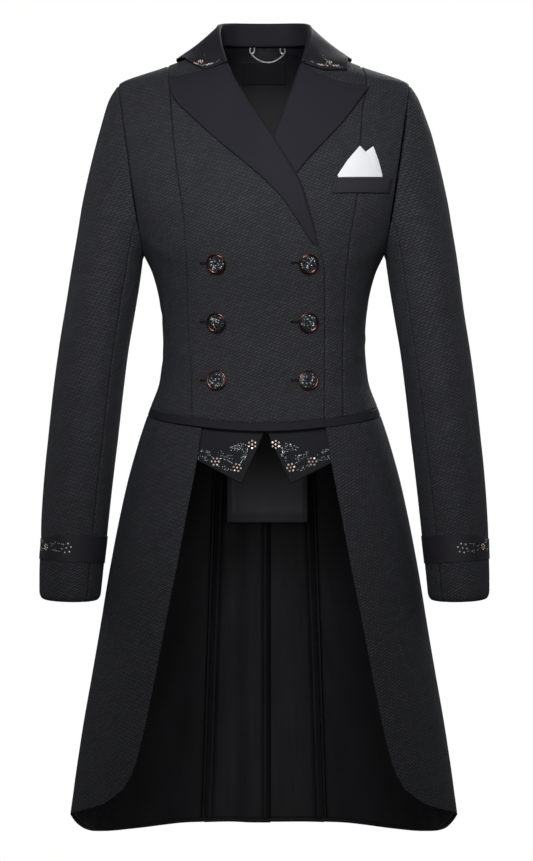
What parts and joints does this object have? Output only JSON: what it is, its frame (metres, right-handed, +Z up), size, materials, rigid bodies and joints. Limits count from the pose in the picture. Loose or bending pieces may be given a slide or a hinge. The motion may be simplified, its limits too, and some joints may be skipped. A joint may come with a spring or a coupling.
{
  "type": "riding show jacket",
  "caption": "Fitted double-breasted tailcoat with peaked lapels, cut-away front, long pleated tails and long sleeves, filled out as if worn.",
  "frame": {"origin": "middle of the neck base, level with the tops of the shoulder seams, where the wearer's neck and shoulders hold the coat", "axes": "+Z up along the wearer, the front faces -Y, and the wearer's left side is at +X"},
  "size_m": [0.591, 0.3433, 1.0495],
  "materials": {
    "outer_cloth": "matt charcoal black with a fine raised weave",
    "smooth_cloth": "smooth blue-black cloth with a soft sheen",
    "satin_lining": "black satin",
    "label_cloth": "blank woven label",
    "white_cloth": "white cotton",
    "button_rim": "polished rose gold",
    "crystal_dark": "black glitter stones",
    "crystal_rose": "rose-gold stones",
    "silver_metal": "polished silver chain"
  },
  "bodies": {
    "root": {"back_waist_band": "smooth_cloth", "button_1": "button_rim", "button_2": "button_rim", "button_3": "button_rim", "button_4": "button_rim", "button_5": "button_rim", "button_6": "button_rim", "collar": "smooth_cloth", "hanger_chain": "silver_metal", "inner_tab": "satin_lining", "left_back": "outer_cloth", "left_chain_end": "silver_metal", "left_cuff_band": "smooth_cloth", "left_front": "outer_cloth", "left_lapel": "smooth_cloth", "left_side_back": "outer_cloth", "left_side_front": "outer_cloth", "left_tail_back": "outer_cloth", "left_tail_back_lining": "satin_lining", "left_tail_side": "outer_cloth", "left_tail_side_lining": "satin_lining", "left_top_sleeve": "outer_cloth", "left_under_sleeve": "outer_cloth", "left_vest_point": "smooth_cloth", "left_waist_band": "smooth_cloth", "neck_label": "label_cloth", "neck_lining": "satin_lining", "pocket_square": "white_cloth", "pocket_welt": "smooth_cloth", "right_back": "outer_cloth", "right_chain_end": "silver_metal", "right_cuff_band": "smooth_cloth", "right_front": "outer_cloth", "right_lapel": "smooth_cloth", "right_side_back": "outer_cloth", "right_side_front": "outer_cloth", "right_tail_back": "outer_cloth", "right_tail_back_lining": "satin_lining", "right_tail_side": "outer_cloth", "right_tail_side_lining": "satin_lining", "right_top_sleeve": "outer_cloth", "right_under_sleeve": "outer_cloth", "right_vest_point": "smooth_cloth", "right_waist_band": "smooth_cloth"}
  },
  "joints": []
}
